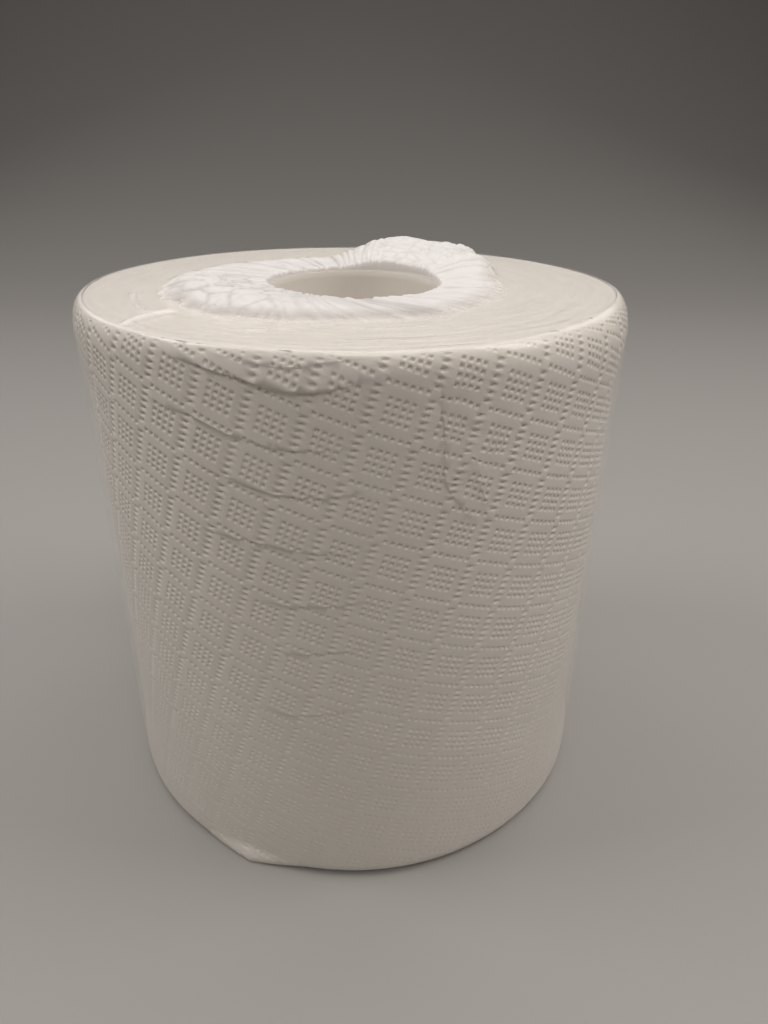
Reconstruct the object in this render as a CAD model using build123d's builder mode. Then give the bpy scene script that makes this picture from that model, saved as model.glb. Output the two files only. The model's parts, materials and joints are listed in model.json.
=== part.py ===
from build123d import *

import os
from math import cos, exp, radians, sin

# A centrefeed paper roll in its clear shrink sleeve, standing on one end.
# The origin is on the axis at the lower end of the sleeve, and +Z runs up the bore.

# Paper: one long sheet wound into a roll, with no tube in the middle
paper_diameter = 190.0
sheet_width = 189.0
bore_diameter = 60.0
paper_edge_radius = 4.5
shoulder_facets = 3
bore_chamfer = 1.0

# Shallow grooves on both ends, where the winding tension changed
winding_groove_count = 2
winding_groove_depth = 0.4
winding_groove_width = 1.2

# Film: a sleeve shrunk round the paper, with its ends drawn in over the ends of the roll
film_thickness = 0.3
film_side_clearance = 0.1
film_opening_margin = 1.5

# Gathers: the slack film on the upper end, drawn into folds round the opening
fold_count = 40
fold_row_count = 5
fold_profile = (-1.0, 1.0, 0.6)
fold_height = 1.7
base_swell = 2.8
opening_lip_share = 0.35
flat_margin = 19.5

# Length of the folds against the flat film beyond them, and how it swings round the opening
fold_to_flat = 2.6
fold_swing = 0.75
fold_swing_angle = 195.0

# Swells: where the slack stands up, as direction and spread in degrees, height, and pull on the folds
front_swell = {"angle": 212.0, "spread": 46.0, "height": 5.0, "pull": 0.3}
back_swell = {"angle": 62.0, "spread": 30.0, "height": 8.0, "pull": 1.2}

# Sizes worked out from those
paper_radius = paper_diameter / 2
bore_radius = bore_diameter / 2
paper_bottom = film_thickness
paper_top = paper_bottom + sheet_width
film_top = paper_top + film_thickness
film_inner_radius = paper_radius + film_side_clearance
film_radius = film_inner_radius + film_thickness
film_edge_radius = paper_edge_radius + film_thickness
film_opening_radius = bore_radius + film_opening_margin
gather_radius = film_radius - film_edge_radius - flat_margin
sector_count = len(fold_profile) * fold_count


def half_section(radius, bottom, top, edge_radius, opening_radius):
    """Half section of a drum with rounded rims, from its upper opening round to the lower one."""
    quarter = [radians(90 * step / shoulder_facets) for step in range(shoulder_facets + 1)]
    rim = [(radius - edge_radius * (1 - cos(turn)), edge_radius * (1 - sin(turn))) for turn in quarter]
    upper = [(across, top - along) for across, along in reversed(rim)]
    lower = [(across, bottom + along) for across, along in rim]
    return [(opening_radius, top), *upper, *lower, (opening_radius, bottom)]


def swell_share(angle, swell):
    """How much of a swell is felt in a direction, from 0 to 1."""
    apart = (angle - swell["angle"] + 180) % 360 - 180
    return exp(-((apart / swell["spread"]) ** 2))


def fold_start(angle):
    """Radius at which the folds begin."""
    swing = fold_swing * cos(radians(angle - fold_swing_angle))
    pull = sum(swell["pull"] * swell_share(angle, swell) for swell in (front_swell, back_swell))
    ratio = fold_to_flat * exp(swing + pull)
    return film_opening_radius + (gather_radius - film_opening_radius) * ratio / (1 + ratio)


def swell_height(angle):
    """Height of the slack film above the end of the roll."""
    swells = sum(swell["height"] * swell_share(angle, swell) for swell in (front_swell, back_swell))
    return base_swell + swells


def rise(share):
    """Share of the full height, from the outer end of a fold (0) to the opening (1)."""
    return (1 - (1 - share) ** 6) * (1 - (1 - opening_lip_share) * share)


def gather_point(sector, row):
    """A corner of the folded film: row 0 is the plain rim, and the last row is the opening's edge."""
    angle = 360 * sector / sector_count
    if row == 0:
        return Vector(gather_radius, 0, film_top).rotate(Axis.Z, angle)
    share = (row - 1) / (fold_row_count - 1)
    radius = fold_start(angle) + share * (film_opening_radius - fold_start(angle))
    fold, step = divmod(sector, len(fold_profile))
    unevenness = 0.75 + 0.25 * sin(2.4 * fold + 1.9 * row)
    height = swell_height(angle) + fold_height * unevenness * fold_profile[step]
    return Vector(radius, 0, film_top + max(0, height) * rise(share)).rotate(Axis.Z, angle)


def gathered_film():
    """The folded film as a thin shell of flat facets, from its plain rim in to the opening."""
    drop = Vector(0, 0, -film_thickness)
    faces = []
    for sector in range(sector_count):
        after = (sector + 1) % sector_count
        for row in range(fold_row_count):
            outer = gather_point(sector, row), gather_point(after, row)
            inner = gather_point(sector, row + 1), gather_point(after, row + 1)
            for facet in ((outer[0], outer[1], inner[1]), (outer[0], inner[1], inner[0])):
                faces.append(Face(Wire.make_polygon(facet)))
                faces.append(Face(Wire.make_polygon([corner + drop for corner in facet])))
        for row in (0, fold_row_count):
            start, end = gather_point(sector, row), gather_point(after, row)
            faces.append(Face(Wire.make_polygon([start, end, end + drop, start + drop])))
    return Solid(Shell(faces))


# Paper roll
with BuildPart() as paper_roll:
    with BuildSketch(Plane.XZ):
        with BuildLine():
            drum = half_section(paper_radius, paper_bottom, paper_top, paper_edge_radius, bore_radius)
            Polyline(*drum, close=True)
        make_face()
    revolve(axis=Axis.Z)
    circles = paper_roll.edges().filter_by(GeomType.CIRCLE)
    chamfer(circles.filter_by(lambda rim: abs(rim.radius - bore_radius) < 0.01), length=bore_chamfer)
    groove_start = bore_radius + bore_chamfer
    groove_step = (paper_radius - paper_edge_radius - groove_start) / (winding_groove_count + 1)
    with BuildSketch(Plane.XZ):
        for groove in range(1, winding_groove_count + 1):
            centre = groove_start + groove * groove_step
            for end, inward in ((paper_bottom, winding_groove_depth), (paper_top, -winding_groove_depth)):
                with BuildLine():
                    Polyline(
                        (centre - winding_groove_width / 2, end),
                        (centre, end + inward),
                        (centre + winding_groove_width / 2, end),
                        close=True,
                    )
                make_face()
    revolve(axis=Axis.Z, mode=Mode.SUBTRACT)
paper_roll.part.label = "paper_roll"

# Film wrap
with BuildPart() as film_wrap:
    with BuildSketch(Plane.XZ):
        with BuildLine():
            outer = half_section(film_radius, 0, film_top, film_edge_radius, film_opening_radius)
            inner = half_section(
                film_inner_radius, paper_bottom, paper_top, paper_edge_radius, film_opening_radius
            )
            outside = Polyline(*outer)
            inside = Polyline(*inner)
            Line(outside @ 0, inside @ 0)
            Line(outside @ 1, inside @ 1)
        make_face()
    revolve(axis=Axis.Z)
    with BuildSketch(Plane.XY.offset(paper_top)):
        RegularPolygon(gather_radius, sector_count)
    extrude(amount=film_thickness, mode=Mode.SUBTRACT)
    add(gathered_film())
film_wrap.part.label = "film_wrap"

# One file for each piece
os.makedirs("parts", exist_ok=True)
for piece in (paper_roll, film_wrap):
    export_step(piece.part, f"parts/{piece.part.label}.step")
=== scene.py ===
import json
import math
from contextlib import contextmanager
from functools import partial, reduce
import bmesh
import bpy
import numpy as np
from mathutils import Matrix, Vector, noise


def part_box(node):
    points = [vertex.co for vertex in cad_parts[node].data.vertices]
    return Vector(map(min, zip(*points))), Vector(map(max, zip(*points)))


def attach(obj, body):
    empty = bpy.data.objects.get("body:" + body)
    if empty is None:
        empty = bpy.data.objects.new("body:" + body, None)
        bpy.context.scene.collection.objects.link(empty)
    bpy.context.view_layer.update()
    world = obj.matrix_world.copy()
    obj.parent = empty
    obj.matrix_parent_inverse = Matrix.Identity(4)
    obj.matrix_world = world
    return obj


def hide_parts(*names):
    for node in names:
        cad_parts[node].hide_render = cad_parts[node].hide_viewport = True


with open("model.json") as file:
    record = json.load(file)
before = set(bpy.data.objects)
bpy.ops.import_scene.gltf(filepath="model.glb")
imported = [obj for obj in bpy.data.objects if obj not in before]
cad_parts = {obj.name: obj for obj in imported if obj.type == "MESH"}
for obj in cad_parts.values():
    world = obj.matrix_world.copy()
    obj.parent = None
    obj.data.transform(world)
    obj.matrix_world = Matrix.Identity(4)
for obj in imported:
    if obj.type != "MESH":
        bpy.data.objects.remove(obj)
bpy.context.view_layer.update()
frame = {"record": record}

mm = 0.001
quarterTurn = math.pi / 2
fullTurn = 2 * math.pi

paperLow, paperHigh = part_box("paper_roll")
boreMount = next(m for m in frame["record"]["mounts"] if m["name"] == "centre_bore")
roll = {
    "radius": round(paperHigh[0], 4),
    "bottom": round(paperLow[2], 5),
    "top": round(paperHigh[2], 5),
    "bore": boreMount["dims"]["r_mm"] * mm,
    "middle": 0.1,  # tells the upper rim from the lower one
    "edge": 5.0 * mm,  # how far the upper rim is pressed down
    "rimIn": 2.4 * mm,  # and how far in
    "lowEdge": 4.5 * mm,  # the same for the lower rim
    "lowIn": 3.8 * mm,
}
print("frame loaded, roll is", roll)


def smoothStep(low, high, value):
    share = np.clip((value - low) / (high - low), 0, 1)
    return share * share * (3 - 2 * share)


def bell(value, middle, spread):  # 1 at the middle, soft on both sides
    return np.exp(-((value - middle) / spread) ** 2)


def aroundAxis(radius, angle, height):
    return np.stack([radius * np.cos(angle), radius * np.sin(angle), height], axis=-1)


def roundRoll(columns):  # angles, and lengths round the roll from the front centre
    theta = np.linspace(-math.pi, math.pi, columns, endpoint=False)
    return theta, ((theta + 1.5 * math.pi) % fullTurn - math.pi) * roll["radius"]


def frontShare(theta):  # 1 at the front, 0 at the back
    return (0.5 - 0.5 * np.sin(theta)) ** 2


def noiseField(points, scale, seed):  # smooth noise, about -1 to 1, at the given size in metres
    shift = Vector((seed * 17.3, seed * -9.1, seed * 5.7))
    return np.array([noise.noise(Vector(p) / scale + shift) for p in points])


def join(tree, source, target):
    if isinstance(source, bpy.types.NodeSocket):
        tree.links.new(source, target)
    else:
        target.default_value = source


def orderedNode(tree, kind, values, operation=None):  # values go to the inputs in their order
    node = tree.nodes.new(kind)
    if operation:
        node.operation = operation
    for socket, value in zip(node.inputs, values):
        join(tree, value, socket)
    return node.outputs


def calc(tree, operation, *values):
    return orderedNode(tree, "ShaderNodeMath", values, operation)[0]


def vectorCalc(tree, operation, *values):
    return orderedNode(tree, "ShaderNodeVectorMath", values, operation)


def mixShader(tree, share, first, second):
    return orderedNode(tree, "ShaderNodeMixShader", (share, first, second))[0]


def setInputs(node, values):
    for name, value in values.items():
        node.inputs[name].default_value = value


def addNode(tree, kind, **inputs):
    node = tree.nodes.new(kind)
    for name, value in inputs.items():
        join(tree, value, node.inputs[name.replace("_", " ")])
    return node


def mixColour(tree, share, first, second):
    node = addNode(tree, "ShaderNodeMix", Factor=share)
    node.data_type = "RGBA"
    for number, colour in ((6, first), (7, second)):  # the colour sockets share their names with others
        join(tree, colour, node.inputs[number])
    return node.outputs[2]


def newMaterial(name):
    material = bpy.data.materials.new(name)
    material.use_nodes = True
    return material, material.node_tree


def newObject(name, mesh):
    item = bpy.data.objects.new(name, mesh)
    bpy.context.scene.collection.objects.link(item)
    return item


def gridMesh(name, points, closeAround=True):  # points is rows by columns by 3, columns run round the axis
    rows, columns = points.shape[:2]
    index = np.arange(rows * columns).reshape(rows, columns)
    nextColumn = np.roll(index, -1, axis=1) if closeAround else index[:, 1:]
    here = index if closeAround else index[:, :-1]
    faces = np.stack([here[:-1], nextColumn[:-1], nextColumn[1:], here[1:]], axis=-1).reshape(-1, 4)
    mesh = bpy.data.meshes.new(name)
    mesh.from_pydata(points.reshape(-1, 3).tolist(), [], faces.tolist())
    mesh.validate()
    mesh.shade_smooth()
    return mesh


@contextmanager
def editing(mesh):
    bm = bmesh.new()
    bm.from_mesh(mesh)
    yield bm
    bm.to_mesh(mesh)
    bm.free()


def storeField(mesh, name, values):
    layer = mesh.attributes.new(name, "FLOAT", "POINT")
    layer.data.foreach_set("value", np.asarray(values, dtype=np.float32).ravel())


# paper finish: soft white tissue with fibres and a faint crepe
tissueLook = {
    "colour": (0.86, 0.82, 0.77, 1),
    "shade": (0.80, 0.755, 0.70, 1),
    "surface": {"Roughness": 0.92, "Specular IOR Level": 0.18, "Sheen Weight": 0.12, "Sheen Roughness": 0.6},
    "cloud": {"Scale": 55.0, "Detail": 3.0},
    "fibre": {"Scale": 1400.0, "Detail": 4.0, "Roughness": 0.65},
    "crepe": {"Scale": 420.0, "Detail": 2.0},
    "crepeStretch": (1, 1, 0.12),  # crepe runs up the roll
    "cloudTone": 0.7,
    "fibreTone": 0.3,
    "crepeHeight": 0.6,
    "lines": {"Scale": 1.0, "Detail": 3.0, "Roughness": 0.7},
    "linesPerMetre": 2400.0,
    "bump": {"Strength": 0.25, "Distance": 0.15 * mm},
}


def tissueMaterial(name, look, turnLines=0.0):
    material, tree = newMaterial(name)
    do, node = partial(calc, tree), partial(addNode, tree)
    shader = tree.nodes["Principled BSDF"]
    setInputs(shader, look["surface"])
    place = tree.nodes.new("ShaderNodeTexCoord").outputs["Object"]
    stretch = node("ShaderNodeMapping", Vector=place, Scale=look["crepeStretch"])
    cloud = node("ShaderNodeTexNoise", Vector=place, **look["cloud"]).outputs["Fac"]
    fibre = node("ShaderNodeTexNoise", Vector=place, **look["fibre"]).outputs["Fac"]
    crepe = node("ShaderNodeTexNoise", Vector=stretch.outputs[0], **look["crepe"]).outputs["Fac"]
    tone = do("MULTIPLY_ADD", cloud, look["cloudTone"], do("MULTIPLY", fibre, look["fibreTone"]))
    join(tree, mixColour(tree, tone, look["shade"], look["colour"]), shader.inputs["Base Color"])
    height = do("MULTIPLY_ADD", crepe, look["crepeHeight"], fibre)
    if turnLines:  # edges of the turns, as rings round the axis
        level = vectorCalc(tree, "MULTIPLY", place, (1, 1, 0))["Vector"]
        reach = vectorCalc(tree, "LENGTH", level)["Value"]
        lines = node("ShaderNodeTexNoise", **look["lines"])
        lines.noise_dimensions = "1D"
        join(tree, do("MULTIPLY", reach, look["linesPerMetre"]), lines.inputs["W"])
        height = do("MULTIPLY_ADD", lines.outputs["Fac"], turnLines, height)
    bump = node("ShaderNodeBump", Height=height, **look["bump"])
    join(tree, bump.outputs[0], shader.inputs["Normal"])
    return material


tissue = tissueMaterial("embossedTissue", tissueLook)
cutEdges = tissueMaterial("woundEdges", tissueLook, turnLines=2.5)

# emboss: dots on a turned grid, in cells with a wide-dot column, a dot row and a block of dots
emboss = {
    "pitchAcross": 2.149 * mm,
    "pitchUp": 2.070 * mm,
    "turn": math.radians(19.8),
    "cell": 7,  # grid steps
    "blockHalf": 1.6,  # grid steps, so the block is 4 by 4
    "same": 0.1,  # slack when grid steps are compared
    "centreS": 5.85 * mm,
    "centreZ": 137.8 * mm,
    "depth": 0.64 * mm,
    "rimDepth": 0.06 * mm,
    "floorShare": 0.38,
    "floorUp": 0.20 * mm,  # the dots are steeper on their upper side
    "roundDot": {"half": (0.80 * mm, 0.74 * mm), "points": 6, "columns": 1},
    "wideDot": {"half": (1.36 * mm, 0.68 * mm), "points": 8, "columns": 3},
    "margin": 4.5 * mm,  # longer than half a wide tile, so that none is missing at the edges
    "spare": 30 * mm,
    "weld": 0.08 * mm,
}


def bridgeLoops(points, outer, inner):  # triangles between two loops that run the same way round the middle
    def around(loop):
        turns = [math.atan2(points[k][1], points[k][0]) % fullTurn for k in loop]
        first = turns.index(min(turns))
        order = loop[first:] + loop[:first]
        turns = sorted(turns)
        return order + order[:1], turns + [turns[0] + fullTurn]
    (far, farTurns), (near, nearTurns) = around(outer), around(inner)
    i, j, faces = 0, 0, []
    while i < len(outer) or j < len(inner):
        if j == len(inner) or (i < len(outer) and farTurns[i + 1] < nearTurns[j + 1]):
            faces.append((far[i], far[i + 1], near[j]))
            i += 1
        else:
            faces.append((far[i], near[j + 1], near[j]))
            j += 1
    return faces


def tileMesh(name, settings, dot=None):  # grid square, or squares, plain or with a pressed dot
    halfU, halfV = settings["pitchAcross"] / 2, settings["pitchUp"] / 2
    columns = dot["columns"] if dot else 1
    marks = [(2 * k - columns) * halfU for k in range(columns + 1)]
    points = [(u, -halfV, 0) for u in marks] + [(u, halfV, 0) for u in reversed(marks)]
    border = list(range(len(points)))
    faces, flat = [tuple(border)], ()
    if dot:
        loops = []
        halfWide, halfHigh = dot["half"]
        rim = (1, settings["rimDepth"], 0)
        floor = (settings["floorShare"], settings["depth"], settings["floorUp"])
        for share, depth, up in (rim, floor):
            first = len(points)
            for k in range(dot["points"]):
                turn = fullTurn * (k + 0.5) / dot["points"]
                level = Vector((halfWide * math.cos(turn) * share, halfHigh * math.sin(turn) * share + up))
                level.rotate(Matrix.Rotation(settings["turn"], 2))  # the dots lie level, the grid doesn't
                points.append((level.x, level.y, -depth))
            loops.append(list(range(first, len(points))))
        around, walls = bridgeLoops(points, border, loops[0]), bridgeLoops(points, *loops)
        faces = around + walls + [tuple(loops[1])]
        flat = range(len(around), len(around) + len(walls))
    lean = Matrix.Rotation(-settings["turn"], 3, "Z")
    mesh = bpy.data.meshes.new(name)
    mesh.from_pydata([lean @ Vector(p) for p in points], [], faces)
    mesh.shade_smooth()
    for number in flat:  # crisp walls to the dots
        mesh.polygons[number].use_smooth = False
    return newObject(name, mesh)


def embossTree():  # lays the tiles out flat: x round the roll, y up it, z out of the paper
    tree = bpy.data.node_groups.new("embossSheet", "GeometryNodeTree")
    do, node = partial(calc, tree), partial(addNode, tree)
    sockets = {
        "Float": ("Pitch Across", "Pitch Up", "Turn", "Cell"),
        "Int": ("Columns", "Rows"),
        "Vector": ("Centre", "Low", "High"),
        "Object": ("Plain Tile", "Round Tile", "Wide Tile"),
        "Material": ("Finish",),
    }
    for socketKind, names in sockets.items():
        for name in names:
            tree.interface.new_socket(name, in_out="INPUT", socket_type="NodeSocket" + socketKind)
    tree.interface.new_socket("Sheet", in_out="OUTPUT", socket_type="NodeSocketGeometry")
    given = tree.nodes.new("NodeGroupInput").outputs
    width = do("MULTIPLY", do("SUBTRACT", given["Columns"], 1), given["Pitch Across"])
    height = do("MULTIPLY", do("SUBTRACT", given["Rows"], 1), given["Pitch Up"])
    grid = node("GeometryNodeMeshGrid", Size_X=width, Size_Y=height,
                Vertices_X=given["Columns"], Vertices_Y=given["Rows"])
    where = tree.nodes.new("GeometryNodeInputPosition").outputs[0]
    parts = node("ShaderNodeSeparateXYZ", Vector=where).outputs

    # kind of each grid point: 0 plain, 1 round dot, 2 wide dot, 3 covered by a wide dot's tile
    same, blockHalf = emboss["same"], emboss["blockHalf"]
    across = do("ROUND", do("DIVIDE", parts["X"], given["Pitch Across"]))
    up = do("ROUND", do("DIVIDE", parts["Y"], given["Pitch Up"]))
    inCellU = do("FLOORED_MODULO", across, given["Cell"])
    inCellV = do("FLOORED_MODULO", up, given["Cell"])
    onColumn = do("COMPARE", inCellU, 0.0, same)
    onRow = do("COMPARE", inCellV, 0.0, same)
    offColumn = do("SUBTRACT", 1.0, onColumn)
    offRow = do("SUBTRACT", 1.0, onRow)
    halfCell = do("DIVIDE", given["Cell"], 2.0)
    blockU = do("COMPARE", inCellU, halfCell, blockHalf)
    blockV = do("COMPARE", inCellV, halfCell, blockHalf)
    small = do("MAXIMUM", do("MULTIPLY", blockU, blockV), do("MULTIPLY", onRow, offColumn))
    wide = do("MULTIPLY", onColumn, offRow)
    fromMiddle = do("ABSOLUTE", do("SUBTRACT", inCellU, halfCell))
    besideColumn = do("COMPARE", fromMiddle, do("SUBTRACT", halfCell, 1.0), same)
    covered = do("MULTIPLY", besideColumn, offRow)
    kind = do("MULTIPLY_ADD", wide, 2.0, do("MULTIPLY_ADD", covered, 3.0, small))
    marked = node("GeometryNodeStoreNamedAttribute", Geometry=grid.outputs[0], Name="dotKind", Value=kind)

    # the grid is turned and moved, and kept only between the limits
    turned = node("ShaderNodeVectorRotate", Vector=where, Angle=do("MULTIPLY", given["Turn"], -1.0))
    turned.rotation_type = "Z_AXIS"
    moved = vectorCalc(tree, "ADD", turned.outputs[0], given["Centre"])["Vector"]
    placed = node("GeometryNodeSetPosition", Geometry=marked.outputs[0], Position=moved)
    low = node("ShaderNodeSeparateXYZ", Vector=given["Low"]).outputs
    high = node("ShaderNodeSeparateXYZ", Vector=given["High"]).outputs
    tests = [do("LESS_THAN", parts[axis], low[axis]) for axis in ("X", "Y")]
    tests += [do("GREATER_THAN", parts[axis], high[axis]) for axis in ("X", "Y")]
    outside = reduce(partial(do, "MAXIMUM"), tests)
    kept = node("GeometryNodeDeleteGeometry", Geometry=placed.outputs[0], Selection=outside)

    # a tile on each point, welded into one sheet
    readKind = node("GeometryNodeInputNamedAttribute", Name="dotKind").outputs[0]
    gather = tree.nodes.new("GeometryNodeJoinGeometry")
    for number, name in enumerate(sockets["Object"]):
        tile = node("GeometryNodeObjectInfo", Object=given[name], As_Instance=True)
        chosen = do("COMPARE", readKind, float(number), same)
        spread = node("GeometryNodeInstanceOnPoints", Points=kept.outputs[0],
                      Instance=tile.outputs["Geometry"], Selection=chosen)
        tree.links.new(spread.outputs[0], gather.inputs[0])
    solid = node("GeometryNodeRealizeInstances", Geometry=gather.outputs[0])
    welded = node("GeometryNodeMergeByDistance", Geometry=solid.outputs[0], Distance=emboss["weld"])
    finished = node("GeometryNodeSetMaterial", Geometry=welded.outputs[0], Material=given["Finish"])
    result = tree.nodes.new("NodeGroupOutput")
    tree.links.new(finished.outputs[0], result.inputs[0])
    return tree


sheetTree = embossTree()
tiles = {
    "Plain Tile": tileMesh("plainTile", emboss),
    "Round Tile": tileMesh("roundTile", emboss, emboss["roundDot"]),
    "Wide Tile": tileMesh("wideTile", emboss, emboss["wideDot"]),
}


def flatSheet(name, low, high):  # runs the tree over a strip of paper and returns it as a plain mesh
    margin = emboss["margin"]
    pitch = emboss["pitchAcross"], emboss["pitchUp"]
    period = [emboss["cell"] * step for step in pitch]
    reach = math.hypot(high[0] - low[0], high[1] - low[1]) / 2 + emboss["spare"]
    middle = ((low[0] + high[0]) / 2, (low[1] + high[1]) / 2)
    away = Vector((middle[0] - emboss["centreS"], middle[1] - emboss["centreZ"], 0))
    away.rotate(Matrix.Rotation(emboss["turn"], 3, "Z"))  # into the grid's own directions
    whole = Vector((round(away.x / period[0]) * period[0], round(away.y / period[1]) * period[1], 0))
    whole.rotate(Matrix.Rotation(-emboss["turn"], 3, "Z"))
    values = {
        "Pitch Across": pitch[0], "Pitch Up": pitch[1], "Turn": emboss["turn"],
        "Columns": 2 * int(reach / pitch[0]) + 1, "Rows": 2 * int(reach / pitch[1]) + 1,
        "Cell": float(emboss["cell"]),
        "Centre": (emboss["centreS"] + whole.x, emboss["centreZ"] + whole.y, 0),
        "Low": (low[0] - margin, low[1] - margin, 0),
        "High": (high[0] + margin, high[1] + margin, 0),
        "Finish": tissue,
        **tiles,
    }
    holder = newObject(name, bpy.data.meshes.new(name))
    layout = holder.modifiers.new("emboss", "NODES")
    layout.node_group = sheetTree
    for item in sheetTree.interface.items_tree:
        if item.in_out == "INPUT":
            layout[item.identifier] = values[item.name]
    shown = holder.evaluated_get(bpy.context.evaluated_depsgraph_get())
    mesh = bpy.data.meshes.new_from_object(shown)
    bpy.data.objects.remove(holder)
    mesh.name = name
    return mesh


# creases of the last turn, in mm: lip, step, path as (round the roll, down from the top)
creases = {
    "level": [
        (0.60, 0.40, [(-56, 3.4), (-44, 5), (-30, 7.5), (-19, 10), (-10, 9.8), (0, 7.4), (8, 5)]),
        (0.26, 0.18, [(-38, 2.2), (-28, 4.2), (-17, 5.4), (-6, 3.2), (4, 0.6)]),
        (0.17, 0.13, [(-66, 15), (-54, 18.5), (-45, 19.3), (-34, 23),
                      (-20, 25.4), (-10, 25.4), (0, 24.2), (4, 22)]),
        (0.17, 0.13, [(-48, 33), (-37, 34.8), (-30, 37), (-20, 38.6), (-10, 38.8), (1, 37.2), (8, 34)]),
        (0.15, 0.12, [(-52, 53), (-40, 53.5), (-30, 53.8), (-19, 55), (-10, 56.3), (0, 55.6), (8, 52)]),
        (0.12, 0.10, [(-32, 73), (-19, 74.5), (-12, 73.8), (-4, 73.5), (6, 71)]),
        (0.12, 0.10, [(-30, 89), (-19, 92), (-12, 91), (-1, 89.4), (6, 86)]),
        (0.10, 0.09, [(-34, 112), (-25, 116), (-19, 116), (-5, 113), (4, 110)]),
    ],
    "upright": [
        (0.24, 0.22, [(21.5, 2), (22.6, 12), (23.4, 25), (24.2, 36), (27.5, 42.5), (32, 47), (36, 51)]),
        (0.22, -0.22, [(31.5, 24), (33.4, 31), (35.6, 39), (38, 47), (40, 53)]),
    ],
    "line": 0.14 * mm,  # from the lip across to the step
    "samples": 80,  # along a path
    "blur": 15,  # samples
    "cutReach": 4 * mm,
    "taper": 0.4,  # share that fades at each end
    "lipReach": 3.0 * mm,
    "stepReach": 1.8 * mm,
    "uprightReach": 0.5,  # upright ones are narrower
}


def creaseCurve(points, upright):  # smooth curve through the points, as sorted arrays in metres
    along = np.array([p[1] if upright else p[0] for p in points]) * mm
    off = np.array([p[0] if upright else p[1] for p in points]) * mm
    if upright:
        along = roll["top"] - along
    else:
        off = roll["top"] - off
    order = np.argsort(along)
    along, off = along[order], off[order]
    fine = np.linspace(along[0], along[-1], creases["samples"])
    shape = np.interp(fine, along, off)
    window = np.hanning(creases["blur"])
    padded = np.pad(shape, creases["blur"] // 2, mode="reflect", reflect_type="odd")
    return fine, np.convolve(padded, window / window.sum(), mode="valid")


def eachCrease():
    for upright, group in ((False, creases["level"]), (True, creases["upright"])):
        for lip, step, path in group:
            yield upright, lip * mm, step * mm, *creaseCurve(path, upright)


def cutCreases(mesh):  # adds edges along each crease, so that its lip is sharp
    with editing(mesh) as bm:
        for upright, _, _, along, off in eachCrease():
            a, b = (1, 0) if upright else (0, 1)
            low, high = off.min() - creases["cutReach"], off.max() + creases["cutReach"]
            faces = []
            for face in bm.faces:
                corner = face.verts[0].co
                if along[0] < corner[a] < along[-1] and low < corner[b] < high:
                    faces.append(face)
            verts = {v for face in faces for v in face.verts}
            for vert in verts:  # made straight for the cut
                vert.co[b] -= np.interp(vert.co[a], along, off)
            region = [*faces, *{e for face in faces for e in face.edges}, *verts]
            for line in (0.0, creases["line"]):
                spot, normal = Vector((0, 0, 0)), Vector((0, 0, 0))
                spot[b], normal[b] = line, 1
                made = bmesh.ops.bisect_plane(bm, geom=region, dist=1e-6, plane_co=spot, plane_no=normal)
                region = [item for item in {*region, *made["geom"]} if item.is_valid]
            for vert in verts | {item for item in region if isinstance(item, bmesh.types.BMVert)}:
                vert.co[b] += np.interp(vert.co[a], along, off)
        bmesh.ops.triangulate(bm, faces=[f for f in bm.faces if len(f.verts) > 4])


def creaseLift(s, z, tent=False):  # how far the creases push the paper out or in, or the film over them
    lift = np.zeros_like(s)
    for upright, lip, step, along, off in eachCrease():
        run, across = (z, s) if upright else (s, z)
        away = across - np.interp(run, along, off)
        start, end = along[0], along[-1]
        fade = creases["taper"] * (end - start)
        taper = smoothStep(start, start + fade, run) * smoothStep(end, end - fade, run)
        soft = creases["uprightReach"] if upright else 1.0
        above = lip * np.exp(-np.abs(away) / (creases["lipReach"] * soft))
        below = -step * np.exp(-np.abs(away) / (creases["stepReach"] * soft))
        lift += taper * np.where((away > creases["line"] * 0.5) | tent, above, below)
    return lift


# wrinkled patch right of the front centre, where the last turn was squeezed
crumple = {
    "s": 31 * mm,
    "z": 26 * mm,
    "lean": 0.32,
    "halfWidth": 10 * mm,
    "halfHeight": 22 * mm,
    "shift": 1.2 * mm,
    "shiftSizes": (7 * mm, 6 * mm),
    "lift": 0.35 * mm,
    "liftSize": 2.6 * mm,
    "liftStretch": (0.55, 1, 1),
    "filmLift": 0.8,  # share that the film over it follows
}


def crumpleShare(s, z):
    down = roll["top"] - z - crumple["z"]
    lean = crumple["s"] + down * crumple["lean"]
    return np.exp(-((s - lean) / crumple["halfWidth"]) ** 2 - (down / crumple["halfHeight"]) ** 4)


# rim of the last turn: pressed over by the film, drawn down left of the front and wider to the right
swags = [
    {"s": -15 * mm, "spread": 18 * mm, "extra": 5.5 * mm, "into": 0.9 * mm},
    {"s": 84 * mm, "spread": 48 * mm, "extra": 7.5 * mm, "into": 5.2 * mm},
    {"s": -110 * mm, "spread": 45 * mm, "extra": 3.0 * mm, "into": 1.6 * mm},
]

# corner at the foot, where the film's fold pulls the paper out
foot = {
    "from": -68 * mm,
    "peak": -40 * mm,
    "end": -19 * mm,
    "out": 3.0 * mm,
    "height": (3 * mm, 7 * mm),
    "ease": 0.55,
}


def rimDrop(s):  # height of the pressed rim
    return roll["edge"] + sum(swag["extra"] * bell(s, swag["s"], swag["spread"]) for swag in swags)


def rimInto(s):  # how far it is pressed in
    return roll["rimIn"] + sum(swag["into"] * bell(s, swag["s"], swag["spread"]) for swag in swags)


def footShare(s):
    return np.interp(s, (foot["from"], foot["peak"], foot["end"]), (0, 1, 0))


def footCorner(s, z):  # how far the corner stands out
    share = footShare(s)
    high = foot["height"][0] + (foot["height"][1] - foot["height"][0]) * share
    return foot["out"] * share * np.clip(1 - z / high, 0, 1)


def lowInto(s):  # the lower rim is pressed in less where the foot's corner pulls it out
    return roll["lowIn"] * (1 - foot["ease"] * footShare(s))


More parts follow.
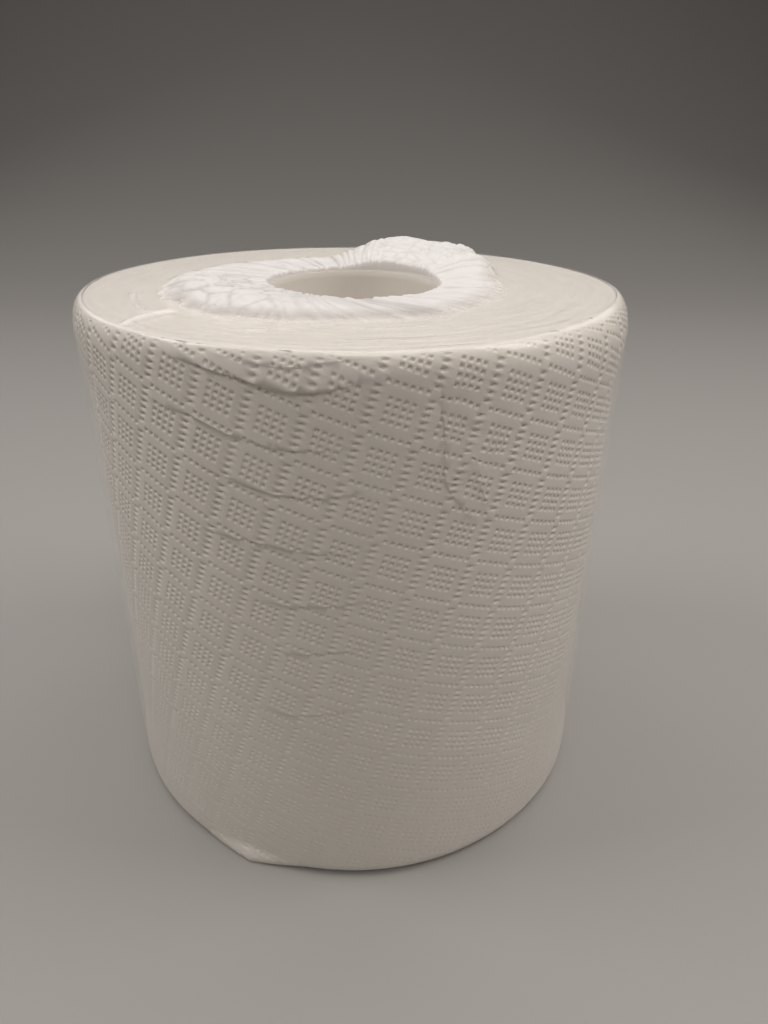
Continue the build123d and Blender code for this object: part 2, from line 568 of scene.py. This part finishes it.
def quarterLength(first, second):  # about the length of a quarter of an ellipse
    return 0.5 * math.pi * np.sqrt((first ** 2 + second ** 2) / 2)


def rimLimits(s):  # lowest and highest point along the paper, over the rims
    drop, low = rimDrop(s), roll["lowEdge"]
    highest = roll["top"] - drop + quarterLength(drop, rimInto(s))
    lowest = roll["bottom"] + low - quarterLength(low, lowInto(s))
    return lowest, highest


def rimProfile(s, y):  # turns height along the paper into distance in from the side, height and lean
    drop, low = rimDrop(s), roll["lowEdge"]
    lowest, highest = rimLimits(s)
    startTop, startLow = roll["top"] - drop, roll["bottom"] + low
    upShare = np.clip((y - startTop) / (highest - startTop), 0, 1)
    lowShare = np.clip((startLow - y) / (startLow - lowest), 0, 1)
    upTurn, lowTurn = upShare * quarterTurn, lowShare * quarterTurn
    inward = rimInto(s) * (1 - np.cos(upTurn)) + lowInto(s) * (1 - np.cos(lowTurn))
    height = np.clip(y, startLow, startTop) + drop * np.sin(upTurn) - low * np.sin(lowTurn)
    return inward, height, np.maximum(upTurn, lowTurn)


# slow waves of the wound paper, which the film follows: mm high, waves round, radians per metre up, start
softWaves = [(0.10, 3, 0, 0.6), (0.07, 7, 21 / 0.19, 0), (0.05, 2, 52, 0)]
softWaveSink = 0.16  # mm


def softSwell(s, z):
    angle = s / roll["radius"]
    waves = sum(high * np.sin(count * angle + up * z + start) for high, count, up, start in softWaves)
    return mm * (waves - softWaveSink)


# at both sides the film stands off the paper
standOff = {
    "places": (-118 * mm, 116 * mm),
    "spread": 30 * mm,
    "gap": 1.7 * mm,
    "ends": 22 * mm,
    "fromTop": 8 * mm,
}


def filmStandOff(s, z):
    share = sum(bell(s, place, standOff["spread"]) for place in standOff["places"])
    lowEnd = smoothStep(0, standOff["ends"], z - roll["bottom"] - roll["edge"])
    highEnd = smoothStep(0, standOff["ends"], roll["top"] - standOff["fromTop"] - z)
    return standOff["gap"] * share * (lowEnd * highEnd)


# last turn, with the embossing
outerTurn = {
    "overlap": 14 * mm,
    "spare": 4 * mm,  # beyond the rims, held back later
    "tailStep": 0.45 * mm,
    "tailRun": 70 * mm,
    "lowFade": (15 * mm, 150 * mm),  # the dots are shallow near the floor
    "lowLeast": 0.22,
    "rimFade": (0.5, 0.85),
    "quilt": 0.07 * mm,  # soft unevenness between the dots
    "quiltSize": 5.5 * mm,
    "depthMean": 0.86,  # share of the full depth, and how it varies
    "depthSwing": 0.3,
    "depthSize": 16 * mm,
    "stray": 0.22 * mm,  # the grid is not quite regular
    "strayAlong": (11 * mm, 19 * mm),
    "strayUp": (13 * mm, 23 * mm),
    "deeper": [  # where the film presses the dots: round the roll, down from the top, half sizes, share
        {"s": -88 * mm, "down": 34 * mm, "half": (34 * mm, 42 * mm), "share": 0.55},
        {"s": 70 * mm, "down": 24 * mm, "half": (50 * mm, 40 * mm), "share": 0.35},
    ],
}


def dotDepth(s, y, spots):  # share of the dots' full depth
    depth = outerTurn["depthMean"] + outerTurn["depthSwing"] * noiseField(spots, outerTurn["depthSize"], 2)
    for patch in outerTurn["deeper"]:
        sideways = (s - patch["s"]) / patch["half"][0]
        upward = (roll["top"] - y - patch["down"]) / patch["half"][1]
        depth += patch["share"] * np.exp(-(sideways ** 2 + upward ** 2))
    return depth


def buildOuterTurn():
    half = math.pi * roll["radius"]
    low = (-half - outerTurn["overlap"], roll["bottom"] - outerTurn["spare"])
    high = (half, roll["top"] + outerTurn["spare"])
    mesh = flatSheet("outer_turn", low, high)
    print("emboss laid out,", len(mesh.polygons), "faces")
    cutCreases(mesh)
    print("creases cut,", len(mesh.polygons), "faces")
    flat = np.empty(len(mesh.vertices) * 3, dtype=np.float32)
    mesh.vertices.foreach_get("co", flat)
    s, y, out = flat.reshape(-1, 3).astype(float).T
    spots = np.stack([s, y, np.zeros_like(s)], axis=-1)
    quilt = noiseField(spots, outerTurn["quiltSize"], 1) * outerTurn["quilt"]
    depth = dotDepth(s, y, spots)
    share = crumpleShare(s, y)
    lift = share * crumple["lift"] * noiseField(spots * crumple["liftStretch"], crumple["liftSize"], 5)
    creaseOut = creaseLift(s, y)

    # the grid strays a little, and more in the wrinkled patch
    (alongY, alongS), (upS, upY) = outerTurn["strayAlong"], outerTurn["strayUp"]
    swayS = outerTurn["stray"] * np.sin(y / alongY + s / alongS)
    swayS += share * crumple["shift"] * noiseField(spots, crumple["shiftSizes"][0], 3)
    swayY = outerTurn["stray"] * np.sin(s / upS - y / upY)
    swayY += share * crumple["shift"] * noiseField(spots, crumple["shiftSizes"][1], 4)
    s = np.clip(s + swayS, low[0], high[0])
    y = y + swayY

    # over the rims, where the dots fade out
    lowest, highest = rimLimits(s)
    beyond = (y > highest) | (y < lowest)
    inward, height, lean = rimProfile(s, np.clip(y, lowest, highest))
    onRim = lean / quarterTurn
    lowLeast = outerTurn["lowLeast"]
    fade = (lowLeast + (1 - lowLeast) * smoothStep(*outerTurn["lowFade"], height)) * depth
    fade = fade * (1 - smoothStep(*outerTurn["rimFade"], onRim))
    out = np.where(beyond, 0, out * fade)
    under = smoothStep(low[0] + outerTurn["tailRun"], low[0], s)  # runs in under the sheet's tail
    swell = softSwell(s, height) + creaseOut + lift + quilt - filmStandOff(s, height)
    across = out + swell * (1 - onRim ** 2)  # square to the paper
    radial = roll["radius"] - inward + across * np.cos(lean)
    radial = radial - outerTurn["tailStep"] * under + footCorner(s, height)
    height = height + across * np.sin(lean) * np.where(height > roll["middle"], 1, -1)
    points = aroundAxis(radial, -quarterTurn + s / roll["radius"], height)
    mesh.vertices.foreach_set("co", points.astype(np.float32).ravel())
    mesh.update()
    return mesh, s


def splitMesh(mesh, picks, names):  # one mesh for each set of faces
    made = []
    for pick, name in zip(picks, names):
        copy = mesh.copy()
        copy.name = name
        with editing(copy) as bm:
            unwanted = [face for face, keep in zip(bm.faces, pick) if not keep]
            bmesh.ops.delete(bm, geom=unwanted, context="FACES")
            bmesh.ops.dissolve_degenerate(bm, dist=2e-6, edges=bm.edges)
            bmesh.ops.triangulate(bm, faces=bm.faces)
        made.append(newObject(name, copy))
    return made


sheetMesh, arcAt = buildOuterTurn()
firstCorner = np.empty(len(sheetMesh.polygons), dtype=np.int32)
sheetMesh.polygons.foreach_get("loop_start", firstCorner)
cornerVert = np.empty(len(sheetMesh.loops), dtype=np.int32)
sheetMesh.loops.foreach_get("vertex_index", cornerVert)
faceArc = arcAt[cornerVert[firstCorner]]
third = math.pi * roll["radius"] / 3
picks = (np.abs(faceArc) < third, faceArc <= -third, faceArc >= third)
for piece in splitMesh(sheetMesh, picks, ("outer_turn_front", "outer_turn_left", "outer_turn_right")):
    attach(piece, "root")
    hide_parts("paper_roll")
    print(piece.name, len(piece.data.polygons), "triangles")

# ends and bore of the roll: the edges of all the turns
ends = {
    "columns": 220,
    "endRows": 46,
    "boreRows": 30,
    "tuck": 0.2 * mm,  # reaches under the last turn
    "lip": 1.2 * mm,  # rounded edge of the bore
    "lipPoints": ((0.5 * mm, 0.25 * mm), (0.1 * mm, 0.9 * mm)),  # out from the bore, in from the end
    "lipWave": 0.3,
    "boreStart": 3 * mm,
    "ripple": 0.10 * mm,
    "rippleGap": 1.9 * mm,
    "boreWave": 0.3 * mm,
    "boreCalm": 2 * mm,  # the wave starts here and then grows
    "boreGrow": 12 * mm,
    "backDepth": 5 * mm,  # hidden behind the last turn
    "backEnds": (12 * mm, 14 * mm),
}


def buildEnds():
    inner, top, bottom = roll["bore"], roll["top"], roll["bottom"]
    theta, arc = roundRoll(ends["columns"])
    topReach = roll["radius"] - rimInto(arc) + ends["tuck"]
    lowReach = roll["radius"] - lowInto(arc) + ends["tuck"]
    start = inner + ends["lip"]
    lipWave = ends["lipWave"]
    profile = []  # (radius, height, how much of the end's ripple, how much of the bore's wave)
    for share in np.linspace(1, 0, ends["endRows"]):
        profile.append((start + (topReach - start) * share, top, 1, 0))
    for away, drop in ends["lipPoints"]:
        profile.append((inner + away, top - drop, lipWave, lipWave))
    for z in np.linspace(top - ends["boreStart"], bottom + ends["boreStart"], ends["boreRows"]):
        inFrom = min(top - z, z - bottom) - ends["boreCalm"]
        profile.append((inner, z, 0, smoothStep(0, ends["boreGrow"], inFrom)))
    for away, drop in reversed(ends["lipPoints"]):
        profile.append((inner + away, bottom + drop, lipWave, lipWave))
    for share in np.linspace(0, 1, ends["endRows"]):
        profile.append((start + (lowReach - start) * share, bottom, -1, 0))
    for z in (bottom + ends["backEnds"][0], top - ends["backEnds"][1]):
        profile.append((roll["radius"] - ends["backDepth"], z, 0, 0))
    profile.append(profile[0])
    points = np.zeros((len(profile), len(theta), 3))
    for row, (r, z, ripple, wave) in enumerate(profile):
        turn = fullTurn * (r / ends["rippleGap"] - theta / fullTurn)
        shift = ripple * ends["ripple"] * (np.sin(turn) + 0.6 * np.sin(0.37 * turn + 1) - 1.7)
        bulge = np.sin(5 * theta + 30 * z) * 0.5 + np.sin(11 * theta + 1) * 0.3 - 0.4
        points[row] = aroundAxis(r + wave * ends["boreWave"] * bulge, theta, z + shift)
    mesh = gridMesh("wound_turns", points)
    with editing(mesh) as bm:
        bmesh.ops.remove_doubles(bm, verts=bm.verts, dist=1e-6)
        bmesh.ops.recalc_face_normals(bm, faces=bm.faces)
    return newObject("wound_turns", mesh)


woundTurns = buildEnds()
woundTurns.data.materials.append(cutEdges)
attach(woundTurns, "root")
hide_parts("paper_roll")
print("ends made,", len(woundTurns.data.polygons), "faces")

# film finish: clear and glossy, milky where it lies in layers, with painted shade in the valleys of its
# folds
filmFields = ("layers", "streak", "crinkle", "valleyShade")
filmLook = {
    "haze": (0.955, 0.945, 0.95, 1),
    # painted shade: this grey darkens the haze in the valleys of the folds, at the strength on the next line
    "valleyShade": (0.52, 0.49, 0.50, 1),
    "valleyShadeStrength": 0.95,
    "plainHaze": 0.03,
    "gatherHaze": 0.9,
    "streakHaze": 0.5,
    "through": 0.2,  # share of the haze that lets light through
    "roughness": 0.2,
    "layerRoughness": 0.2,  # added where the film lies in layers
    "streakRound": 3.2,
    "streakInward": 210.0,
    "streaks": {"Scale": 1.0, "Detail": 2.0, "Roughness": 0.55, "Distortion": 0.4},
    "facetScale": 260.0,
    "slow": {"Scale": 70.0, "Detail": 2.0},
    "slowBump": 0.5,
    "streakBump": 4.5,
    "facetBump": 1.4,
    "bump": {"Strength": 0.6, "Distance": 0.4 * mm},
    "shinePower": 5.0,
    "shineGrazing": 0.6,
    "shineFacing": 0.04,
    "layerShine": -0.35,
}


def filmMaterial(look):
    material, tree = newMaterial("shrinkFilm")
    do, node = partial(calc, tree), partial(addNode, tree)
    tree.nodes.remove(tree.nodes["Principled BSDF"])
    place = tree.nodes.new("ShaderNodeTexCoord").outputs["Object"]
    fields = {}
    for name in filmFields:
        field = tree.nodes.new("ShaderNodeAttribute")
        field.attribute_name = name
        fields[name] = field.outputs["Fac"]

    # streaks drawn round the roll's end, facets in the crumpled film and slow waves make its bump
    level = vectorCalc(tree, "MULTIPLY", place, (1, 1, 0))["Vector"]
    reach = vectorCalc(tree, "LENGTH", level)["Value"]
    onward = vectorCalc(tree, "NORMALIZE", level)["Vector"]
    way = node("ShaderNodeSeparateXYZ", Vector=onward).outputs
    roundX, roundY = (do("MULTIPLY", way[axis], look["streakRound"]) for axis in ("X", "Y"))
    drawn = node("ShaderNodeCombineXYZ", X=roundX, Y=roundY, Z=do("MULTIPLY", reach, look["streakInward"]))
    streaks = node("ShaderNodeTexNoise", Vector=drawn.outputs[0], **look["streaks"])
    streak = do("MULTIPLY", streaks.outputs["Fac"], fields["streak"])
    facets = node("ShaderNodeTexVoronoi", Vector=place, Scale=look["facetScale"])
    wrinkle = do("MULTIPLY", facets.outputs["Distance"], fields["crinkle"])
    slow = node("ShaderNodeTexNoise", Vector=place, **look["slow"])
    ripple = do("MULTIPLY_ADD", streak, look["streakBump"], do("MULTIPLY", wrinkle, look["facetBump"]))
    ripple = do("MULTIPLY_ADD", slow.outputs["Fac"], look["slowBump"], ripple)
    normal = node("ShaderNodeBump", Height=ripple, **look["bump"]).outputs[0]

    clear = tree.nodes.new("ShaderNodeBsdfTransparent").outputs[0]
    roughness = do("MULTIPLY_ADD", fields["layers"], look["layerRoughness"], look["roughness"])
    gloss = node("ShaderNodeBsdfGlossy", Normal=normal, Roughness=roughness, Color=(1, 1, 1, 1)).outputs[0]
    # painted shade: the haze turns grey where the valleys of the folds lie
    valleyShade = do("MULTIPLY", fields["valleyShade"], look["valleyShadeStrength"])
    hazeWithShade = mixColour(tree, valleyShade, look["haze"], look["valleyShade"])
    milk = node("ShaderNodeBsdfDiffuse", Normal=normal, Color=hazeWithShade).outputs[0]
    through = node("ShaderNodeBsdfTranslucent", Color=hazeWithShade).outputs[0]
    soft = mixShader(tree, look["through"], milk, through)

    # the shine is the same from both sides of the thin film
    facing = node("ShaderNodeLayerWeight", Blend=0.5, Normal=normal).outputs["Facing"]
    grazing = do("POWER", facing, look["shinePower"])
    shine = do("MULTIPLY_ADD", grazing, look["shineGrazing"], look["shineFacing"])
    shine = do("MULTIPLY", shine, do("MULTIPLY_ADD", fields["layers"], look["layerShine"], 1.0))
    addedHaze = look["gatherHaze"] - look["plainHaze"]
    cloud = do("MULTIPLY_ADD", fields["layers"], addedHaze, look["plainHaze"])
    cloud = do("MULTIPLY_ADD", streak, look["streakHaze"], cloud)
    skin = mixShader(tree, shine, mixShader(tree, cloud, clear, soft), gloss)
    join(tree, skin, tree.nodes["Material Output"].inputs["Surface"])
    return material


shrinkFilm = filmMaterial(filmLook)

film = {
    "columns": 640,
    "gap": 0.22 * mm,
    "under": 0.05 * mm,  # height under the roll
    "opening": 31.0 * mm,
    "gatherRim": 71.1 * mm,
    "foldToFlat": 2.6,  # length of the folds against the flat film, and how it swings round
    "foldSwing": 0.75,
    "foldSwingAngle": 195.0,
    "lipShare": 0.16,
    "baseSwell": 2.8 * mm,
    "uneven": 0.18,
    "unevenSize": 15 * mm,
    # direction and spread in degrees, how flat on top, height, pull on the folds, crush of the pleats,
    # then the scales: size, stretch along the pleats, height, strength of the painted shade in the lines
    # between them
    "swells": [
        {"angle": 212.0, "spread": 46.0, "flat": 2, "height": 4.6 * mm, "pull": 0.3, "crush": 1.25,
         "lump": 8.5 * mm, "stretch": 1.1, "relief": 3.4 * mm, "lines": 1.0},
        {"angle": 56.0, "spread": 36.0, "flat": 4, "height": 15.0 * mm, "pull": 1.2, "crush": 0.85,
         "lump": 10.0 * mm, "stretch": 0.36, "relief": 3.4 * mm, "lines": 0.5},
    ],
    "pleats": 54,
    "pleatWander": ((0.9, 3, 1), (0.6, 7, 2), (0.35, 19, 0)),  # how far, waves round, start
    "pleatHeight": 3.0 * mm,
    "finer": 0.4,  # small pleats between the others
    "finerCount": 1.37,
    "twist": 0.42,  # the pleats are drawn aside at the front
    "ragged": 2.4 * mm,
    "fringe": 0.9 * mm,  # how far the pleats stand up at the opening
    "plainMilk": 0.14,  # layers at the start of the folds
    "ridges": [  # paths across the top, in mm from the axis, with height and width in mm
        {"height": 1.3, "width": 1.4,
         "path": [(-65.5, -69), (-63.5, -65), (-61.5, -59), (-58.5, -53), (-54, -48.5)]},
        {"height": 0.7, "width": 1.0,
         "path": [(-71.8, -21.5), (-70.2, -29), (-67.6, -36.5), (-65, -43), (-62, -48.5), (-58, -51)]},
        {"height": 0.35, "width": 1.8,
         "path": [(-30, -72), (-14, -67), (4, -56), (18, -43), (31, -34)]},
    ],
    "turnedDown": ((0.5, 0.8, 0), (0.8, 0.4, 0.1 * mm), (0.95, 0.1, 0.5 * mm)),  # shares inward and up, drop
}


def swellShare(theta, swell):
    apart = (np.degrees(theta) - swell["angle"] + 180) % 360 - 180
    return np.exp(-(np.abs(apart / swell["spread"]) ** swell["flat"]))


def foldStart(theta):  # radius at which the folds begin
    swing = film["foldSwing"] * np.cos(theta - math.radians(film["foldSwingAngle"]))
    pull = sum(swell["pull"] * swellShare(theta, swell) for swell in film["swells"])
    ratio = film["foldToFlat"] * np.exp(swing + pull)
    return film["opening"] + (film["gatherRim"] - film["opening"]) * ratio / (1 + ratio)


def scales(points, size, seed):  # rounded scales with sharp valleys between them, 0 to 1
    shift = Vector((seed * 7.7, seed * 3.1, seed * 11.9))
    found = np.array([noise.voronoi(Vector(p) / size + shift)[0][:2] for p in points])
    return np.clip(found[:, 1] - found[:, 0], 0, 1) ** 0.4


def pleatPhase(theta):  # counts the pleats round the opening, unevenly spaced
    wander = sum(far * np.sin(count * theta + start) for far, count, start in film["pleatWander"])
    return film["pleats"] * theta / fullTurn + wander


def drawnScales(theta, radius, swell, size, seed):  # scales drawn out along the pleats of a swell
    local = (theta - math.radians(swell["angle"]) + math.pi) % fullTurn - math.pi
    sway = 1.6 * mm * np.sin(radius / (4.1 * mm) + 5 * local)
    spots = np.stack([local * 50 * mm + sway, radius / swell["stretch"], np.zeros_like(radius)], axis=-1)
    return scales(spots.reshape(-1, 3), size, seed).reshape(radius.shape)


def gatherHeight(theta, share, radius):  # height of the gathered film over the flat film, the painted shade for its valleys, and crush
    shares = [swellShare(theta, swell) for swell in film["swells"]]
    swell = film["baseSwell"] + sum(item["height"] * part for item, part in zip(film["swells"], shares))
    spots = aroundAxis(radius, theta, np.zeros_like(radius)).reshape(-1, 3)
    uneven = noiseField(spots, film["unevenSize"], 8).reshape(radius.shape)
    swell = swell * (1 + film["uneven"] * uneven)
    crush = np.clip(sum(item["crush"] * part for item, part in zip(film["swells"], shares)), 0, 1)
    rise = (1 - (1 - share) ** (1.5 + 2.3 * crush)) * (1 - (1 - film["lipShare"]) * share)

    # pleats, where the film isn't crushed
    phase = pleatPhase(theta - film["twist"] * (1 - share) * frontShare(theta))
    pleat = np.abs(np.sin(math.pi * phase)) ** 0.6
    finer = np.abs(np.sin(math.pi * (film["finerCount"] * phase + 0.4 * np.sin(5 * theta + 6 * share))))
    relief = (1 - crush) * film["pleatHeight"] * (pleat + film["finer"] * finer - 0.7)
    # painted shade for the valleys between the pleats
    valleyShade = np.clip(1 - pleat / 0.78, 0, 1) * (1 - crush)

    # large and small scales on the swells, with painted shade in the lines between the large ones
    for number, (item, part) in enumerate(zip(film["swells"], shares)):
        large = drawnScales(theta, radius, item, item["lump"], 2 * number + 1)
        small = drawnScales(theta, radius, item, 0.45 * item["lump"], 2 * number + 2)
        felt = np.clip(1.2 * part, 0, 1) ** 2
        relief = relief + felt * item["relief"] * (0.6 * large + 0.4 * small - 0.5)
        valleyShade = np.maximum(valleyShade, felt * np.clip(1 - large / 0.5, 0, 1) * item["lines"])
    fringe = film["fringe"] * (0.5 * pleat + 0.5 * finer - 0.4) * smoothStep(0.7, 1, share)
    height = np.maximum((swell + relief * (1 - 0.6 * share ** 3)) * rise + fringe, 0)
    return height, valleyShade * smoothStep(0, 0.15, share), crush


def ridgeLift(radius, theta):  # folds that stand up from the flat film on top
    x, y = radius * np.cos(theta), radius * np.sin(theta)
    lift = np.zeros_like(x)
    for ridge in film["ridges"]:
        near = np.full_like(x, 1.0)
        path = np.array(ridge["path"]) * mm
        for (x0, y0), (x1, y1) in zip(path, path[1:]):
            dx, dy = x1 - x0, y1 - y0
            run = np.clip(((x - x0) * dx + (y - y0) * dy) / (dx ** 2 + dy ** 2), 0, 1)
            near = np.minimum(near, np.hypot(x - x0 - run * dx, y - y0 - run * dy))
        lift = np.maximum(lift, ridge["height"] * mm * np.exp(-(near / (ridge["width"] * mm)) ** 1.5))
    return lift


def buildFilm():
    theta, arc = roundRoll(film["columns"])
    opening, flatLevel = film["opening"], roll["top"] + film["gap"]
    drawn = 0.25 + 0.75 * frontShare(theta)  # streaks are strongest at the front
    rows, fields = [], []

    def addRow(radius, height, layers, streak=0.0, crinkle=0.0, valleyShade=0.0):
        rows.append([np.broadcast_to(v, theta.shape) for v in (radius, height)])
        fields.append([np.broadcast_to(v, theta.shape) for v in (layers, streak, crinkle, valleyShade)])

    for share in np.linspace(0, 1, 5):  # under the roll, nearly flat
        reach = opening + (roll["radius"] - lowInto(arc) - opening) * share
        addRow(reach, film["under"], 0.35 * (1 - share))

    # side, with closer rows at both rims
    lowest, highest = rimLimits(arc)
    sideRows = np.linspace(0.004, 0.06, 9), np.linspace(0.09, 0.87, 20), np.linspace(0.89, 1, 22)
    for share in np.concatenate(sideRows):
        y = lowest + (highest - lowest) * share
        inward, height, lean = rimProfile(arc, y)
        onRim = lean / quarterTurn
        upper = height > roll["middle"]
        over = softSwell(arc, height) + creaseLift(arc, y, tent=True)
        over = over + crumple["filmLift"] * crumple["lift"] * crumpleShare(arc, y)
        across = film["gap"] + over * (1 - onRim ** 2)
        corner = footCorner(arc, height)
        radius = roll["radius"] - inward + across * np.cos(lean) + corner
        up = across * np.sin(lean) * np.where(upper, 1, -0.2)
        addRow(radius, height + up, 0.3 * corner / foot["out"], smoothStep(0.5, 1, onRim) * upper * drawn)

    # flat film from the rim in to the ragged start of the folds
    uneven = np.abs(np.sin(math.pi * pleatPhase(theta))) - 0.5
    uneven = uneven + 0.7 * np.sin(23 * theta + 1) * np.sin(9 * theta)
    rough = np.clip(sum(swellShare(theta, swell) for swell in film["swells"]), 0, 1)
    start = foldStart(theta) + film["ragged"] * uneven * (0.25 + 0.75 * rough)
    flatEdge = roll["radius"] - rimInto(arc)
    for share in np.linspace(0.05, 1, 20):
        radius = flatEdge + (start - flatEdge) * share
        ridge = ridgeLift(radius, theta)
        milky = film["plainMilk"] * share ** 2 + 0.5 * np.clip(ridge / mm, 0, 1)
        addRow(radius, flatLevel + ridge * smoothStep(0, 0.15, share), milky, (1 - 0.4 * share) * drawn)

    # gathers, from there in to the opening
    shares = np.linspace(0, 1, 73)[1:]
    radii = start + (opening - start) * shares[:, None]
    turns, parts = np.broadcast_to(theta, radii.shape), np.broadcast_to(shares[:, None], radii.shape)
    # the gathers carry painted shade in their valleys, stored for the film's finish
    lift, valleyShades, crush = gatherHeight(turns, parts, radii)
    for share, radius, height, valleyShade, crushed in zip(shares, radii, lift, valleyShades, crush):
        milky = film["plainMilk"] + (1 - film["plainMilk"]) * smoothStep(0, 0.5 - 0.35 * crushed, share)
        ridge = ridgeLift(radius, theta) * (1 - smoothStep(0.1, 0.5, share))
        addRow(radius, flatLevel + np.maximum(height, ridge), milky, 0.6 * (1 - milky), 0.3 * milky, valleyShade)
    for inwardShare, share, drop in film["turnedDown"]:  # into the bore
        reach = opening - inwardShare * (opening - roll["bore"])
        addRow(reach, roll["top"] + share * lift[-1] - drop, 0.3 + 0.4 * share)

    radii, heights = np.array(rows).transpose(1, 0, 2)
    mesh = gridMesh("film_sleeve", aroundAxis(radii, theta, heights))
    for name, values in zip(filmFields, np.array(fields).transpose(1, 0, 2)):
        storeField(mesh, name, values)
    return newObject("film_sleeve", mesh)


filmSleeve = buildFilm()
filmSleeve.data.materials.append(shrinkFilm)
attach(filmSleeve, "root")
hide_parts("film_wrap")
print("film made,", len(filmSleeve.data.polygons), "faces")

for tile in tiles.values():
    bpy.data.objects.remove(tile)

# stage: a grey sweep that bends up into the wall
stage = {
    "surface": {"Base Color": (0.38, 0.368, 0.357, 1), "Roughness": 0.7},
    "halfWidth": 2.2,
    "front": -1.6,
    "back": 2.2,
    "bend": 1.3,
    "bendSteps": 12,
    "wall": 1.9,
}


def buildStage():
    bend, bendStart = stage["bend"], stage["back"] - stage["bend"]
    path = [(stage["front"], 0.0), (bendStart, 0.0)]
    for k in range(1, stage["bendSteps"] + 1):
        turn = quarterTurn * k / stage["bendSteps"]
        path.append((bendStart + bend * math.sin(turn), bend * (1 - math.cos(turn))))
    path.append((stage["back"], stage["wall"]))
    sides = (-stage["halfWidth"], stage["halfWidth"])
    points = np.array([[(x, y, z) for x in sides] for y, z in path])
    mesh = gridMesh("sweep", points, closeAround=False)
    mesh.flip_normals()
    material, tree = newMaterial("paleSweep")
    setInputs(tree.nodes["Principled BSDF"], stage["surface"])
    mesh.materials.append(material)
    return newObject("sweep", mesh)


buildStage()

# six soft lights, all turned to the roll, in a dim room
lightAim = Vector((0, 0, 0.1))
lights = {  # place, size, power, colour
    "above": ((0.05, 0.12, 0.95), 0.9, 3.6, (1.0, 0.965, 0.93)),
    "front": ((0.05, -0.88, 1.32), 0.6, 5.6, (1.0, 0.93, 0.86)),
    "right": ((1.02, -0.05, 1.15), 0.6, 6.0, (1.0, 0.945, 0.885)),
    "left": ((-1.02, 0.0, 1.15), 0.6, 6.0, (1.0, 0.96, 0.915)),
    "behindRight": ((0.9, 1.0, 0.85), 0.6, 1.5, (1.0, 0.96, 0.915)),
    "behindLeft": ((-0.9, 1.0, 0.85), 0.6, 1.5, (1.0, 0.96, 0.915)),
}
for name, (place, size, power, colour) in lights.items():
    lamp = bpy.data.lights.new(name, "AREA")
    lamp.size, lamp.energy, lamp.color = size, power, colour
    holder = newObject(name, lamp)
    holder.location = place
    holder.rotation_mode = "QUATERNION"
    holder.rotation_quaternion = (lightAim - Vector(place)).to_track_quat("-Z", "Y")

room = {"Color": (0.60, 0.585, 0.57, 1), "Strength": 0.06}
world = bpy.data.worlds.new("room")
world.use_nodes = True
setInputs(world.node_tree.nodes["Background"], room)
bpy.context.scene.world = world

# camera where the photograph was taken
lens = {
    "place": (0.0, -0.2709, 0.2375),
    "down": math.radians(27.25),
    "aside": math.radians(-2.43),
    "tilt": math.radians(0.71),
    "focal": 25.99,
    "sensor": 36,
    "nearest": 0.01,
}
camera = bpy.data.cameras.new("viewer")
camera.lens = lens["focal"]
camera.sensor_width = lens["sensor"]
camera.clip_start = lens["nearest"]
viewer = newObject("viewer", camera)
aside = Matrix.Rotation(lens["aside"], 3, "Z")
ahead = aside @ Vector((0, math.cos(lens["down"]), -math.sin(lens["down"])))
right = aside @ Vector((1, 0, 0))
upward = right.cross(ahead)
sideways = math.cos(lens["tilt"]) * right + math.sin(lens["tilt"]) * upward
headUp = -math.sin(lens["tilt"]) * right + math.cos(lens["tilt"]) * upward
turnTo = Matrix((sideways, headUp, -ahead)).transposed()
viewer.rotation_mode = "QUATERNION"
viewer.rotation_quaternion = turnTo.to_quaternion()
viewer.location = lens["place"]
bpy.context.scene.camera = viewer
bpy.context.scene.view_settings.view_transform = "Standard"
print("stage, lights and camera set")
